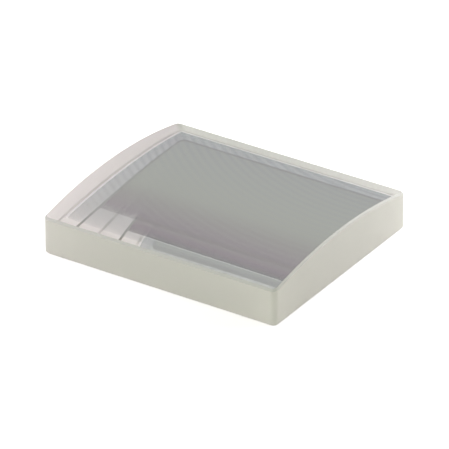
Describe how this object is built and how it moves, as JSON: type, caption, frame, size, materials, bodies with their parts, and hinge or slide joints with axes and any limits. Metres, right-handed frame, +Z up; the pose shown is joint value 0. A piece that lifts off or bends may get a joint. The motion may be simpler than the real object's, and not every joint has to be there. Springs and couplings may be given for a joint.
{
  "type": "cylindrical lens",
  "caption": "Rectangular plano-convex cylindrical lens of clear glass, with a flat base, an arched polished face, fine-ground sides, rounded corners and bevelled edges.",
  "frame": {"origin": "middle of the flat polished face that the lens rests on", "axes": "+X along the cylinder's axis, the direction in which the lens has no power; +Y across the curve; +Z up out of the arched face"},
  "size_m": [0.034, 0.03, 0.0067],
  "materials": {
    "glass": "polished and coated above, polished below, fine-ground on the sides, corners and bevels"
  },
  "bodies": {
    "root": {"lens": "glass"}
  },
  "joints": []
}
